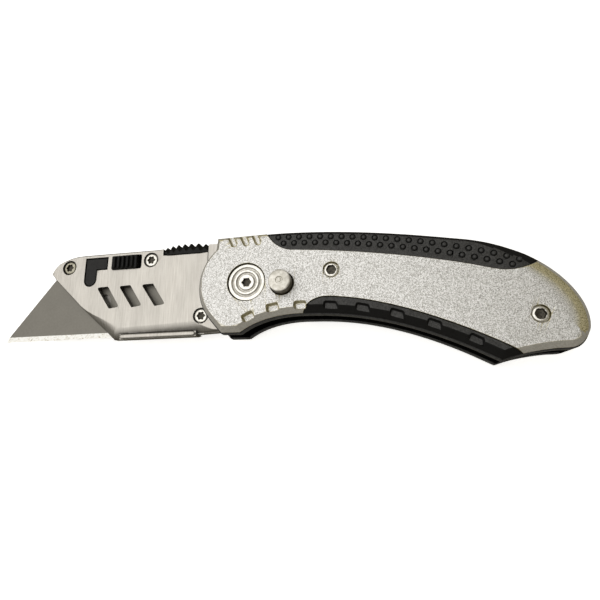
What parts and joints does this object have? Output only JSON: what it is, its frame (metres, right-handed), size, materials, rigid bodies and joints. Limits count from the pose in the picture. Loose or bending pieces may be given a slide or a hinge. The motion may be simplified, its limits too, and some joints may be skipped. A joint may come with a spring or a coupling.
{
  "type": "utility knife",
  "caption": "Folding utility knife with a curved metal and rubber handle, a button lock and a quick-change blade holder.",
  "frame": {"origin": "on the fold pivot's axis, in the plane of the handle's rear face, which the knife lies on", "axes": "+X along the blade's cutting edge from the tip towards the handle, +Y towards the spine, +Z out of the front face"},
  "size_m": [0.1531, 0.0358, 0.017],
  "materials": {
    "scale": "fine sparkling silver coat on cast metal",
    "liner": "satin dark moulded frame",
    "grip": "matte black, lightly grained",
    "spacer": "satin dark grey",
    "fastener": "satin steel with dark sockets",
    "polished_steel": "turned and polished",
    "washer": "plain bronze",
    "spring_steel": "bright drawn wire and strip",
    "holder_steel": "brushed stainless",
    "black_plastic": "satin black",
    "blade_steel": "grey rolled steel with a bright ground edge"
  },
  "bodies": {
    "handle": {"front_scale": "scale", "rear_scale": "scale", "front_liner": "liner", "rear_liner": "liner", "front_top_grip": "grip", "front_bottom_grip": "grip", "rear_top_grip": "grip", "rear_bottom_grip": "grip", "back_spacer": "spacer", "spacer_rivets": "fastener", "front_scale_screws": "fastener", "rear_scale_screws": "fastener", "pivot_bolt": "polished_steel", "pivot_nut": "polished_steel", "pivot_washers": "washer", "lock_spring": "spring_steel"},
    "lock": {"lock_button": "polished_steel"},
    "holder": {"holder_body": "holder_steel", "holder_core": "holder_steel", "holder_cover": "holder_steel", "holder_screws": "fastener", "thumb_ramp": "black_plastic", "blade": "blade_steel", "blade_guide": "black_plastic", "release_spring": "spring_steel"},
    "release": {"release_button": "black_plastic", "release_pin": "spring_steel"},
    "catch": {"blade_catch": "spring_steel"}
  },
  "joints": [
    {"name": "fold", "type": "hinge", "parent": "handle", "child": "holder", "pos_m": [0, 0, 0.007], "axis": [0, 0, 1], "range_deg": [0, 165]},
    {"name": "lock_press", "type": "slide", "parent": "handle", "child": "lock", "axis": [0, 0, -1], "range_m": [0, 0.002], "stiffness_N_per_m": 900, "springref_m": -0.001, "deforming": ["lock_spring"]},
    {"name": "release_slide", "type": "slide", "parent": "holder", "child": "release", "axis": [1, 0, 0], "range_m": [0, 0.001], "stiffness_N_per_m": 500, "springref_m": -0.001, "deforming": ["release_spring"]},
    {"name": "catch_lift", "type": "slide", "parent": "holder", "child": "catch", "axis": [0, 1, 0], "range_m": [0, 0.001]}
  ],
  "couplings": [
    {"joint": "catch_lift", "follows": "release_slide", "ratio": 1}
  ]
}
